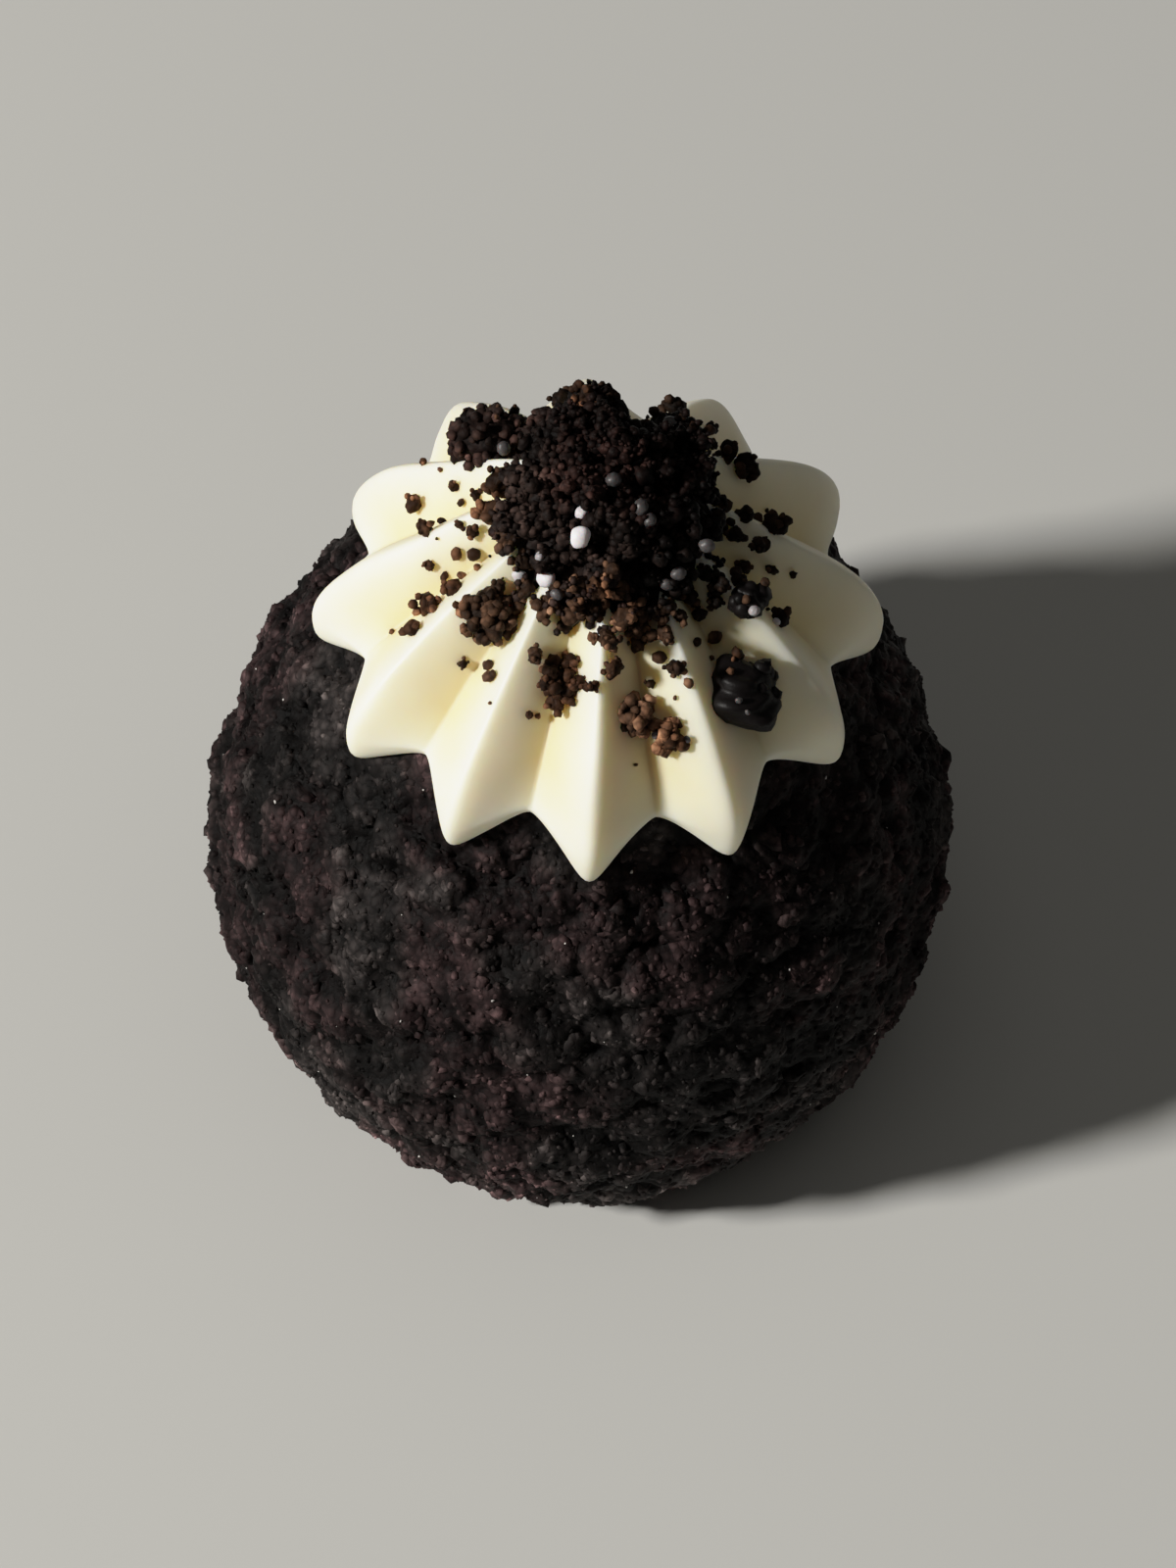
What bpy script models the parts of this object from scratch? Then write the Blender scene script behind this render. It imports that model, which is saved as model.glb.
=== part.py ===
"""A small round brownie cake with a piped star of cream on its crown and cookie crumbs on the cream.

The cake is a slumped ball with a craggy, crumbly surface. The cream is one star with twelve ridges,
pressed onto the crown. A heap of crumbs covers the star's peak, and loose crumbs lie on its ridges.

Metres, +Z up. The cake rests on z = 0 about the Z axis, and its front faces -Y.
"""

import math
import random

import bmesh
import bpy
from mathutils import Matrix, Vector, noise

# ---- Driving dimensions, in metres ----

# Cake body: a ball cut flat where it rests, a little taller above its equator than it is wide.
BODY_RADIUS = 0.0263
EQUATOR_HEIGHT = 0.0170
CROWN_RISE = 0.0293
LUMP_SIZE = 0.0140
LUMP_DEPTH = 0.0008
CRAG_SIZE = 0.0042
CRAG_DEPTH = 0.0013
CRAG_SHARPNESS = 1.5
FOOT_FULLNESS = 2.15  # exponent of the lower half's outline, where 2 is a round one
SMOOTH_SEAT_RADIUS = 0.0145  # the crown carries the cream inside this, and is craggy past the fade
SEAT_FADE = 0.0030
BODY_SUBDIVISIONS = 5

# Cream star, seen from above: its tips and the valleys between them.
CREAM_CENTRE = Vector((0.0003, 0.0020))
TIP_RADIUS = 0.0192
VALLEY_RADIUS = 0.0162
STAR_STRETCH = Vector((0.985, 1.070))  # the star is longer from front to back
STAR_TURN = math.radians(-86)  # where the first tip points
LOBE_TURNS = (-2, -2, -1, -1, 0, 5, 3, 1, 3, 2, 1, -1)  # degrees each tip strays, as piped by hand
LOBE_REACHES = (1.00, 1.00, 0.99, 1.00, 0.98, 1.03, 1.02, 1.03, 0.98, 1.01, 1.02, 1.01)
LOBES = len(LOBE_TURNS)
CREST_ROUNDING = 0.15  # of half a ridge's width
TIP_SHARPNESS = 1.4  # exponent of the outline between a valley and a tip, where 1 is a plain star

# Cream star, seen from the side. A section runs from the peak to the blunt edge, and its points are
# (share of the radius, rise): the first two rise from the peak's height and the others from the edge's.
PEAK_HEIGHT = 0.0564
CREST_SECTION = ((0, 0), (0.24, -0.0001), (0.62, 0.0084), (1, 0.0054), (1, 0))
VALLEY_SECTION = ((0, 0), (0.20, -0.0014), (0.46, 0.0094), (0.80, 0.0038), (1, 0))
TIP_NOSE = 0.0026  # how far a tip's blunt end stands above the cake
VALLEY_NOSE = 0.0010
THICK_WAY = Vector((math.cos(math.radians(75)), math.sin(math.radians(75))))
THICKENING = 0.9  # how much higher the blunt edge stands towards that side, as a share
TUCK = 0.0008  # how far the foot of the blunt edge lies inside its outermost line
SEAT_GAP = 0.00035
CREAM_COLUMNS = 8  # to a lobe
TOP_RINGS = 8
EDGE_RINGS = 2
SEAT_RINGS = 5

# Crumb heap on the star's peak: a core, and crumbs over it.
HEAP_RADIUS = 0.0071
HEAP_LEAN = 0.15  # how much further the heap reaches to the front than to the sides, as a share
HEAP_RISE = 0.0015
HEAP_GAP = 0.0004
HEAP_COLUMNS = 4  # to a lobe
HEAP_RINGS = 4
HEAP_CRUMB_COUNT = 54
HEAP_CRUMB_SIZES = (0.0015, 0.0028)
HEAP_CRUMB_REACH = 0.0067
# (angle in degrees, distance from the star's axis, length, width)
HEAP_LARGE_CRUMBS = (
    (143, 0.0094, 0.0056, 0.0050),
    (130, 0.0066, 0.0038, 0.0032),
    (98, 0.0062, 0.0046, 0.0038),
    (60, 0.0078, 0.0031, 0.0027),
    (50, 0.0062, 0.0034, 0.0029),
    (15, 0.0052, 0.0034, 0.0030),
    (-70, 0.0045, 0.0034, 0.0028),
    (-150, 0.0048, 0.0032, 0.0028),
)

# Loose crumbs on the star's ridges, which thin out from the heap towards the tips.
CREAM_CRUMB_COUNT = 45
CREAM_CRUMB_SIZES = (0.0009, 0.0017)
CREAM_CRUMB_ZONE = (0.0102, 0.0165)
CREAM_CRUMB_THINNING = 1.4
CREAM_LARGE_CRUMBS = (
    (-134, 0.0112, 0.0042, 0.0036),
    (-42, 0.0127, 0.0050, 0.0042),
    (-76, 0.0124, 0.0028, 0.0026),
    (-66, 0.0140, 0.0026, 0.0021),
    (-100, 0.0114, 0.0023, 0.0020),
    (-26, 0.0108, 0.0024, 0.0020),
    (-155, 0.0128, 0.0023, 0.0017),
    (-173, 0.0118, 0.0016, 0.0013),
    (166, 0.0134, 0.0017, 0.0015),
    (-18, 0.0130, 0.0018, 0.0015),
    (6, 0.0112, 0.0022, 0.0015),
    (32, 0.0110, 0.0023, 0.0020),
    (70, 0.0118, 0.0021, 0.0018),
)

# Every crumb: how it sits and how uneven it is.
CRUMB_SINK = 0.15  # of its length, straight down a steep slope
CRUMB_FLATTEST = 0.75  # of its length
CRUMB_CORNERS = (0.92, 1.16)  # of its radius
CRUMB_TILT = 0.6  # radians
SEED = 12

GOLDEN_ANGLE = math.pi * (3 - math.sqrt(5))
HALVINGS = 26


# ---- Cake body ----


def crown_height(radius):
    """Height of the smooth crown at a distance from the cake's axis."""
    return EQUATOR_HEIGHT + CROWN_RISE * math.sqrt(1 - min(radius / BODY_RADIUS, 1) ** 2)


def smooth_point(outward):
    """The smooth body's surface in a direction from its centre: round above and fuller below."""
    rise, fullness = (CROWN_RISE, 2) if outward.z > 0 else (BODY_RADIUS, FOOT_FULLNESS)
    flat = math.hypot(outward.x, outward.y)
    reach = (flat**fullness + abs(outward.z) ** fullness) ** (-1 / fullness)
    return Vector((0, 0, EQUATOR_HEIGHT)) + reach * outward * Vector((BODY_RADIUS, BODY_RADIUS, rise))


def carved_depth(point):
    """How deep the craggy surface lies below the smooth body, which stays smooth under the cream."""
    lumps = LUMP_DEPTH * (0.5 + 0.5 * noise.noise(point / LUMP_SIZE))
    crags = CRAG_DEPTH * noise.voronoi(point / CRAG_SIZE)[0][0] ** CRAG_SHARPNESS
    bareness = (point.xy.length - SMOOTH_SEAT_RADIUS) / SEAT_FADE
    return (lumps + crags) * min(max(bareness, 0), 1)


def make_body():
    """A ball of small faces, shaped and carved, then cut flat at the bottom."""
    shape = bmesh.new()
    bmesh.ops.create_icosphere(shape, subdivisions=BODY_SUBDIVISIONS, radius=1)
    for vertex in shape.verts:
        outward = vertex.co.normalized()
        smooth = smooth_point(outward)
        vertex.co = smooth - outward * carved_depth(smooth)
    whole = shape.verts[:] + shape.edges[:] + shape.faces[:]
    cut = bmesh.ops.bisect_plane(
        shape, geom=whole, plane_co=(0, 0, 0), plane_no=(0, 0, -1), clear_outer=True
    )
    rim = [piece for piece in cut["geom_cut"] if isinstance(piece, bmesh.types.BMEdge)]
    bmesh.ops.edgeloop_fill(shape, edges=rim)
    bmesh.ops.recalc_face_normals(shape, faces=shape.faces)
    return new_object("brownie", shape, make_material("cake", (0.028, 0.018, 0.017), 0.85))


# ---- The star's form. A column counts lobes round the star, and 0 is the crest of the first. ----


def bezier(points, share):
    """A point on the Bezier curve through these control points, by repeated mixing."""
    while len(points) > 1:
        points = [a.lerp(b, share) for a, b in zip(points, points[1:])]
    return points[0]


def ridge_share(across):
    """1 on a ridge's rounded crest and 0 in the sharp valley. across is 0 at a crest, 1 at the next."""
    away = 2 * min(across, 1 - across)
    rounding = CREST_ROUNDING
    return 1 - (math.hypot(away, rounding) - rounding) / (math.hypot(1, rounding) - rounding)


def lobe_angle(number):
    """The direction of a tip, counted on past the last one."""
    turns, lobe = divmod(number, LOBES)
    return STAR_TURN + math.radians(LOBE_TURNS[lobe]) + math.tau * (turns + lobe / LOBES)


def star_column(column):
    """(angle, ridge share, reach) of the star at a column."""
    lobe = math.floor(column)
    across = column - lobe
    angle = lobe_angle(lobe) * (1 - across) + lobe_angle(lobe + 1) * across
    reach = LOBE_REACHES[lobe % LOBES] * (1 - across) + LOBE_REACHES[(lobe + 1) % LOBES] * across
    return angle, ridge_share(across), reach


def star_outline(column):
    """(horizontal direction, stretched with the star, ridge share, outer radius) at a column."""
    angle, ridge, reach = star_column(column)
    way = Vector((math.cos(angle) * STAR_STRETCH.x, math.sin(angle) * STAR_STRETCH.y))
    return way, ridge, reach * (VALLEY_RADIUS + (TIP_RADIUS - VALLEY_RADIUS) * ridge**TIP_SHARPNESS)


def seat_height(place):
    """Height of the cream's underside at a horizontal place."""
    return crown_height(place.length) + SEAT_GAP


def section_controls(section, radius, edge_height):
    """The control points (distance from the axis, height) of the star's crest or valley section."""
    bases = (PEAK_HEIGHT, PEAK_HEIGHT, edge_height, edge_height, edge_height)
    return [Vector((share * radius, base + rise)) for (share, rise), base in zip(section, bases)]


def star_section_point(column, share):
    """(distance from the axis, height) of the star's top, with share 0 at its peak and 1 at its edge."""
    way, ridge, radius = star_outline(column)
    nose = TIP_NOSE * ridge + VALLEY_NOSE * (1 - ridge)
    nose *= 1 + THICKENING * max(way.dot(THICK_WAY), 0)
    edge_height = seat_height(CREAM_CENTRE + way * radius) + nose
    crest = section_controls(CREST_SECTION, radius, edge_height)
    valley = section_controls(VALLEY_SECTION, radius, edge_height)
    return bezier([low.lerp(high, ridge) for low, high in zip(valley, crest)], share)


def cream_top(column, share):
    """A point of the cream's upper surface: share is 0 at the peak and 1 at the blunt edge."""
    section = star_section_point(column, share)
    place = CREAM_CENTRE + star_outline(column)[0] * section.x
    return Vector((place.x, place.y, section.y))


def cream_under(column, share):
    """A point of the cream's underside: share is 0 at the blunt edge's foot and 1 on the axis."""
    way, _, radius = star_outline(column)
    place = CREAM_CENTRE + way * ((radius - TUCK) * (1 - share))
    return Vector((place.x, place.y, seat_height(place)))


def cream_edge(column, share):
    """A point of the blunt edge's rounded lower half: share is 0 at its outermost, 1 at its foot."""
    outermost = cream_top(column, 1)
    foot = cream_under(column, 0)
    corner = Vector((outermost.x, outermost.y, foot.z))
    return bezier([outermost, corner, foot], share)


# ---- Finding a place on the star ----


def halve(low, high, is_before):
    """The number between low and high where is_before turns from true to false."""
    for _ in range(HALVINGS):
        middle = (low + high) / 2
        low, high = (middle, high) if is_before(middle) else (low, middle)
    return low


def cream_share(column, distance):
    """How far along the star's section at a column a distance from its axis lies."""
    reach = min(distance, star_outline(column)[2])
    return halve(0, 1, lambda share: star_section_point(column, share).x < reach)


def cream_surface(angle, distance):
    """The point of the cream's top in a direction, at a distance from the star's axis."""
    target = (angle - lobe_angle(0)) % math.tau + lobe_angle(0)
    column = halve(0, LOBES, lambda number: star_column(number)[0] < target)
    return cream_top(column, cream_share(column, distance))


def star_polar(place):
    """(angle, distance) of a horizontal place from the star's axis, with the star's stretch undone."""
    away = place - CREAM_CENTRE
    unstretched = Vector((away.x / STAR_STRETCH.x, away.y / STAR_STRETCH.y))
    return math.atan2(unstretched.y, unstretched.x), unstretched.length


# ---- Cream and the heap's core ----


def shape_sphere(columns, rings, placed):
    """A sphere primitive whose point at each (column, ring) is moved to placed(column, ring)."""
    shape = bmesh.new()
    bmesh.ops.create_uvsphere(shape, u_segments=LOBES * columns, v_segments=rings, radius=1)
    for vertex in shape.verts:
        turn = math.atan2(vertex.co.y, vertex.co.x) / math.tau
        ring = round(math.acos(max(-1, min(1, vertex.co.z))) / math.pi * rings)
        is_pole = ring in (0, rings)
        vertex.co = placed(0 if is_pole else round(turn * LOBES * columns) / columns, ring)
    bmesh.ops.recalc_face_normals(shape, faces=shape.faces)
    return shape


def make_cream():
    """The bare star: ridged top, blunt edge, and an underside that follows the crown."""

    def placed(column, ring):
        if ring <= TOP_RINGS:
            return cream_top(column, ring / TOP_RINGS)
        ring -= TOP_RINGS
        if ring <= EDGE_RINGS:
            return cream_edge(column, ring / EDGE_RINGS)
        return cream_under(column, (ring - EDGE_RINGS) / SEAT_RINGS)

    shape = shape_sphere(CREAM_COLUMNS, TOP_RINGS + EDGE_RINGS + SEAT_RINGS, placed)
    return new_object("cream", shape, make_material("cream", (0.86, 0.80, 0.60), 0.45))


def heap_lean(angle):
    """How far the heap reaches in a direction, as a share of its reach to the sides."""
    return 1 - HEAP_LEAN * math.sin(angle)


def heap_cover(angle, distance):
    """Height of the heap's core above the cream: it fills the valleys and thins out to its rim."""
    share = min(distance / (HEAP_RADIUS * heap_lean(angle)), 1)
    ridge_top = cream_top(0, cream_share(0, distance)).z
    valley_fill = max(ridge_top - cream_surface(angle, distance).z, 0)
    return (1 - share**4) * valley_fill + (1 - share**2) * HEAP_RISE


def make_heap():
    """The heap's core: a mound whose underside follows the star's ridges."""

    def placed(column, ring):
        angle = star_column(column)[0]
        distance = HEAP_RADIUS * heap_lean(angle) * (1 - abs(ring / HEAP_RINGS - 1))
        point = cream_top(column, cream_share(column, distance))
        cover = heap_cover(angle, distance) if ring < HEAP_RINGS else 0
        return point + Vector((0, 0, HEAP_GAP + cover))

    shape = shape_sphere(HEAP_COLUMNS, 2 * HEAP_RINGS, placed)
    return new_object("crumb_heap", shape, make_material("crumb", (0.020, 0.012, 0.011), 0.75))


# ---- Crumbs, each listed as (angle, distance from the star's axis, length, width) ----


def listed_crumbs(crumbs):
    return [(math.radians(turn), away, length, width) for turn, away, length, width in crumbs]


def spread_crumbs(count, sizes, distance_at, draw):
    """Small crumbs, each a golden angle on from the last, at the distance for its share of the count."""
    crumbs = []
    for number in range(count):
        length = draw.uniform(*sizes)
        width = length * draw.uniform(CRUMB_FLATTEST, 1)
        crumbs.append((number * GOLDEN_ANGLE, distance_at((number + 0.5) / count), length, width))
    return crumbs


def heap_crumbs(draw):
    small = spread_crumbs(
        HEAP_CRUMB_COUNT, HEAP_CRUMB_SIZES, lambda share: HEAP_CRUMB_REACH * math.sqrt(share), draw
    )
    leaning = [(angle, distance * heap_lean(angle), *size) for angle, distance, *size in small]
    return listed_crumbs(HEAP_LARGE_CRUMBS) + leaning


def cream_crumbs(draw):
    """The crumbs on the ridges, without those that would lie on an earlier one."""
    near, far = CREAM_CRUMB_ZONE
    small = spread_crumbs(
        CREAM_CRUMB_COUNT,
        CREAM_CRUMB_SIZES,
        lambda share: near + (far - near) * share**CREAM_CRUMB_THINNING,
        draw,
    )
    kept = []
    for crumb in listed_crumbs(CREAM_LARGE_CRUMBS) + small:
        place = cream_surface(*crumb[:2])
        if all((place - cream_surface(*k[:2])).length > (crumb[2] + k[2]) / 2 for k in kept):
            kept.append(crumb)
    return kept


def make_crumb(centre, length, width, draw):
    """One crumb: a small ball of twenty faces with its corners pushed in and out."""
    shape = bmesh.new()
    bmesh.ops.create_icosphere(shape, subdivisions=1, radius=0.5)
    for vertex in shape.verts:
        vertex.co *= draw.uniform(*CRUMB_CORNERS)
    spin = Matrix.Rotation(draw.uniform(0, math.tau), 3, "Z")
    tilt = Matrix.Rotation(draw.uniform(0, CRUMB_TILT), 3, "X")
    bmesh.ops.scale(shape, vec=(length, width, (length + width) / 2), verts=shape.verts)
    bmesh.ops.rotate(shape, matrix=spin @ tilt, verts=shape.verts)
    bmesh.ops.translate(shape, vec=centre, verts=shape.verts)
    return shape


def lift_clear(shape):
    """Raises a crumb of the heap until its corners, edges and faces clear the cream."""
    points = [vertex.co for vertex in shape.verts]
    points += [(edge.verts[0].co + edge.verts[1].co) / 2 for edge in shape.edges]
    points += [face.calc_center_median() for face in shape.faces]
    needed = max(cream_surface(*star_polar(point.xy)).z + HEAP_GAP - point.z for point in points)
    bmesh.ops.translate(shape, vec=(0, 0, max(needed, 0)), verts=shape.verts)


def add_crumbs(base, crumbs, is_heap, draw):
    """Fuses crumbs to the heap's core or to the cream, each resting where that surface is."""
    shapes = []
    for angle, distance, length, width in crumbs:
        centre = cream_surface(angle, distance)
        centre.z += length * (0.5 - CRUMB_SINK)
        if is_heap:
            centre.z += HEAP_GAP + heap_cover(angle, distance)
        shapes.append(make_crumb(centre, length, width, draw))
        if is_heap:
            lift_clear(shapes[-1])
    fuse(base, shapes)


def fuse(base, shapes):
    """Joins closed shapes to the piece that carries them, by one union that is then applied."""
    loose = bpy.data.collections.new("shapes_to_fuse")
    bpy.context.scene.collection.children.link(loose)
    for number, shape in enumerate(shapes):
        mesh = bpy.data.meshes.new(f"shape_{number}")
        shape.to_mesh(mesh)
        shape.free()
        loose.objects.link(bpy.data.objects.new(mesh.name, mesh))
    union = base.modifiers.new("fuse", "BOOLEAN")
    union.operation = "UNION"
    union.operand_type = "COLLECTION"
    union.collection = loose
    evaluated = base.evaluated_get(bpy.context.evaluated_depsgraph_get())
    fused = bpy.data.meshes.new_from_object(evaluated)
    base.modifiers.clear()
    base.data = fused
    for helper in list(loose.objects):
        bpy.data.objects.remove(helper)
    bpy.data.collections.remove(loose)
    keep_outer_skin(fused)


def keep_outer_skin(mesh):
    """Drops the skins of sealed hollows and loose scraps, so that one closed body is left."""
    shape = bmesh.new()
    shape.from_mesh(mesh)
    skins = sorted((skin_of(face) for face in shape.faces if not face.tag), key=len)
    for scrap in skins[:-1]:
        bmesh.ops.delete(shape, geom=scrap, context="FACES")
    shape.to_mesh(mesh)
    shape.free()


def skin_of(face):
    """The face and all that its edges join it to, near or far, tagged as taken."""
    face.tag = True
    skin = [face]
    for member in skin:
        for edge in member.edges:
            for neighbour in edge.link_faces:
                if not neighbour.tag:
                    neighbour.tag = True
                    skin.append(neighbour)
    return skin


# ---- Assembly ----


def make_material(name, colour, roughness):
    material = bpy.data.materials.new(name)
    material.use_nodes = True
    surface = material.node_tree.nodes["Principled BSDF"]
    surface.inputs["Base Color"].default_value = (*colour, 1)
    surface.inputs["Roughness"].default_value = roughness
    return material


def new_object(name, shape, material):
    """An object in the cake's collection from a finished shape."""
    mesh = bpy.data.meshes.new(name)
    shape.to_mesh(mesh)
    shape.free()
    mesh.shade_smooth()
    mesh.materials.append(material)
    piece = bpy.data.objects.new(name, mesh)
    bpy.data.collections["brownie_cake"].objects.link(piece)
    return piece


def centre_pieces(pieces):
    """Moves the pieces sideways together until the box round them is centred on the Z axis."""
    points = [vertex.co for piece in pieces for vertex in piece.data.vertices]
    low = [min(point[axis] for point in points) for axis in (0, 1)]
    high = [max(point[axis] for point in points) for axis in (0, 1)]
    shift = Vector((-(low[0] + high[0]) / 2, -(low[1] + high[1]) / 2, 0))
    for piece in pieces:
        piece.data.transform(Matrix.Translation(shift))


def main():
    for old in list(bpy.data.objects):
        bpy.data.objects.remove(old)
    bpy.context.scene.collection.children.link(bpy.data.collections.new("brownie_cake"))
    draw = random.Random(SEED)
    body = make_body()
    cream = make_cream()
    heap = make_heap()
    add_crumbs(heap, heap_crumbs(draw), True, draw)
    add_crumbs(cream, cream_crumbs(draw), False, draw)
    centre_pieces([body, cream, heap])


main()
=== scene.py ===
"""The looks of a small round brownie cake with a piped star of cream and cookie crumbs.

Metres, +Z up. The cake's and the star's forms are those of the CAD model, at a finer scale.
"""

import math

import bmesh
import bpy
import numpy as np
from mathutils import Matrix, Vector, noise
from mathutils.bvhtree import BVHTree


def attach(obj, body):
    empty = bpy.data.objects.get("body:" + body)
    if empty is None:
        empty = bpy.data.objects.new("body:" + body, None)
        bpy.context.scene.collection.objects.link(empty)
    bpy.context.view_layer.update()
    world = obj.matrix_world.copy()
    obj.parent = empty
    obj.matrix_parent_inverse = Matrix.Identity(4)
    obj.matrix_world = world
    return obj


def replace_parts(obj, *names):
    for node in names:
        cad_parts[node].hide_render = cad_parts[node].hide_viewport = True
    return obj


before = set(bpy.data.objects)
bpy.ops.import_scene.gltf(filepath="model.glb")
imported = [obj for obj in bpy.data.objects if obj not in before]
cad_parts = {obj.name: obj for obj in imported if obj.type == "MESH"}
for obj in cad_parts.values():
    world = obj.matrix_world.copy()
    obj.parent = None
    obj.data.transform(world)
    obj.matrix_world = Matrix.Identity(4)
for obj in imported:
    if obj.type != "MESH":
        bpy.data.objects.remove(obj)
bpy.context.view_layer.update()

SEED = 5

rng = np.random.default_rng(SEED)
noise.seed_set(SEED)  # noise_vector would otherwise differ from run to run

# ---- Form of the cake, as in the CAD model ----

# The CAD model is centred on its box, which moves it by this much.
CENTRING = Vector((0.000063, -0.000026, 0))

BODY_RADIUS = 0.0263
EQUATOR_HEIGHT = 0.0170
CROWN_RISE = 0.0293
LUMP_SIZE = 0.0140
LUMP_DEPTH = 0.0008
CRAG_SIZE = 0.0042
CRAG_DEPTH = 0.0013
CRAG_SHARPNESS = 1.5
FOOT_FULLNESS = 2.15  # exponent of the lower half's outline, where 2 is a round one
SMOOTH_SEAT_RADIUS = 0.0145
SEAT_FADE = 0.0030

# Finer relief of the cake: (size, depth) of its packed crumbs, and how bent their outlines are.
CRUMB_LAYERS = ((0.0027, 0.00110), (0.0013, 0.00050), (0.0007, 0.00015))
CRUMB_BEND = 0.0008
CRUMB_ROUNDNESS = 0.8  # of a crumb's spacing, the radius of its rounded top
CRUMB_UNEVENNESS = 0.3  # of a layer's depth, how much deeper its lowest crumb lies than its highest
HASH_WAY = Vector((12.99, 78.23, 37.72))  # these two make a crumb's random number from its place
HASH_SCALE = 43758.5
LEVEL_PIT = 0.3  # pits of this depth, as a share, lie level with the coarser relief
SEAT_RELIEF = 0.4  # share of the fine relief that is left under the cream
PAINTED_SHADE_BETWEEN_CRUMBS = 0.1  # how much deeper the surface between the loose crumbs counts, which gives it painted shade
BODY_COLUMNS = 520
BODY_ROWS = 176
CAP_ROWS = 6
CAP_RADIUS = 0.0130  # the crown inside this is out of sight under the cream
BASE_RING = 0.985  # of the foot's radius, where the flat base's only ring lies

# Coat of crumbs on the cake
CLUSTER_SIZE = 0.0030
CLUSTER_PIT = 0.45  # crumbs stick out of the cake where its pits are shallower than this,
CLUSTER_VARIETY = 0.25  # which varies by this much from cluster to cluster
DEEPEST_PIT = 0.75  # no grain lies in a pit deeper than this
COAT_SCATTER = 0.012  # how far the crumbs' directions stray from an even spread
COAT_LUMPINESS = 0.38
COAT_FLATNESS = 0.55  # of a crumb's length, its least width
COAT_FLOOR = 0.65  # of a crumb's length, how high the lowest crumbs' centres lie
COAT_LOWEST = 0.0003
COAT_MARGIN = 0.0006  # how far in under the cream's edge the coat goes on

# ---- Form of the cream star, as in the CAD model ----

CREAM_CENTRE = Vector((0.0003, 0.0020))
TIP_RADIUS = 0.0192
VALLEY_RADIUS = 0.0162
STAR_STRETCH = Vector((0.985, 1.070))
STAR_TURN = math.radians(-86)
LOBE_TURNS = (-2, -2, -1, -1, 0, 5, 3, 1, 3, 2, 1, -1)
LOBE_REACHES = (1.00, 1.00, 0.99, 1.00, 0.98, 1.03, 1.02, 1.03, 0.98, 1.01, 1.02, 1.01)
LOBES = len(LOBE_TURNS)
CREST_ROUNDING = 0.15
TIP_SHARPNESS = 1.4
CREST_FULLNESS = 0.68  # under 1, the ridges are sharper than the CAD model's towards the peak
PEAK_HEIGHT = 0.0564
CREST_SECTION = ((0, 0), (0.24, -0.0001), (0.62, 0.0084), (1, 0.0054), (1, 0))
VALLEY_SECTION = ((0, 0), (0.20, -0.0014), (0.46, 0.0088), (0.80, 0.0034), (1, 0))
TIP_NOSE = 0.0026
VALLEY_NOSE = 0.0010
THICK_WAY = Vector((math.cos(math.radians(75)), math.sin(math.radians(75))))
THICKENING = 0.9
TUCK = 0.0008
SEAT_GAP = 0.00035
FOOT_SINK = 0.0005  # the real cream sticks to the cake, so its underside is sunk into it here
CREAM_COLUMNS = 36  # to a lobe
TOP_RINGS = 66
EDGE_RINGS = 8
SEAT_RINGS = 3
CREAM_WAVER_SIZE = 0.0050
CREAM_WAVER = 0.00016

# ---- Crumb heap, as in the CAD model ----

HEAP_RADIUS = 0.0071
HEAP_LEAN = 0.15
HEAP_RISE = 0.0015
HEAP_PITS = 0.0008  # depth of the core's deepest pits
HEAP_SINK = 0.0002  # how far the core's underside is sunk into the cream
HEAP_COLUMNS = 16  # to a lobe
HEAP_RINGS = 34
HEAP_CRUMB_COUNT = 54
HEAP_CRUMB_SIZES = (0.0015, 0.0028)
HEAP_CRUMB_FLATNESS = 0.7
HEAP_CRUMB_REACH = 0.0067
# Clumps and crumbs: (angle in degrees, distance from the star's axis, length, width)
HEAP_CLUMPS = (
    (145, 0.0098, 0.0058, 0.0052),
    (133, 0.0060, 0.0034, 0.0030),
    (105, 0.0064, 0.0050, 0.0040),
    (60, 0.0078, 0.0031, 0.0027),
    (50, 0.0062, 0.0034, 0.0029),
    (15, 0.0052, 0.0034, 0.0030),
    (-70, 0.0045, 0.0034, 0.0028),
    (-150, 0.0048, 0.0032, 0.0028),
)
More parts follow.
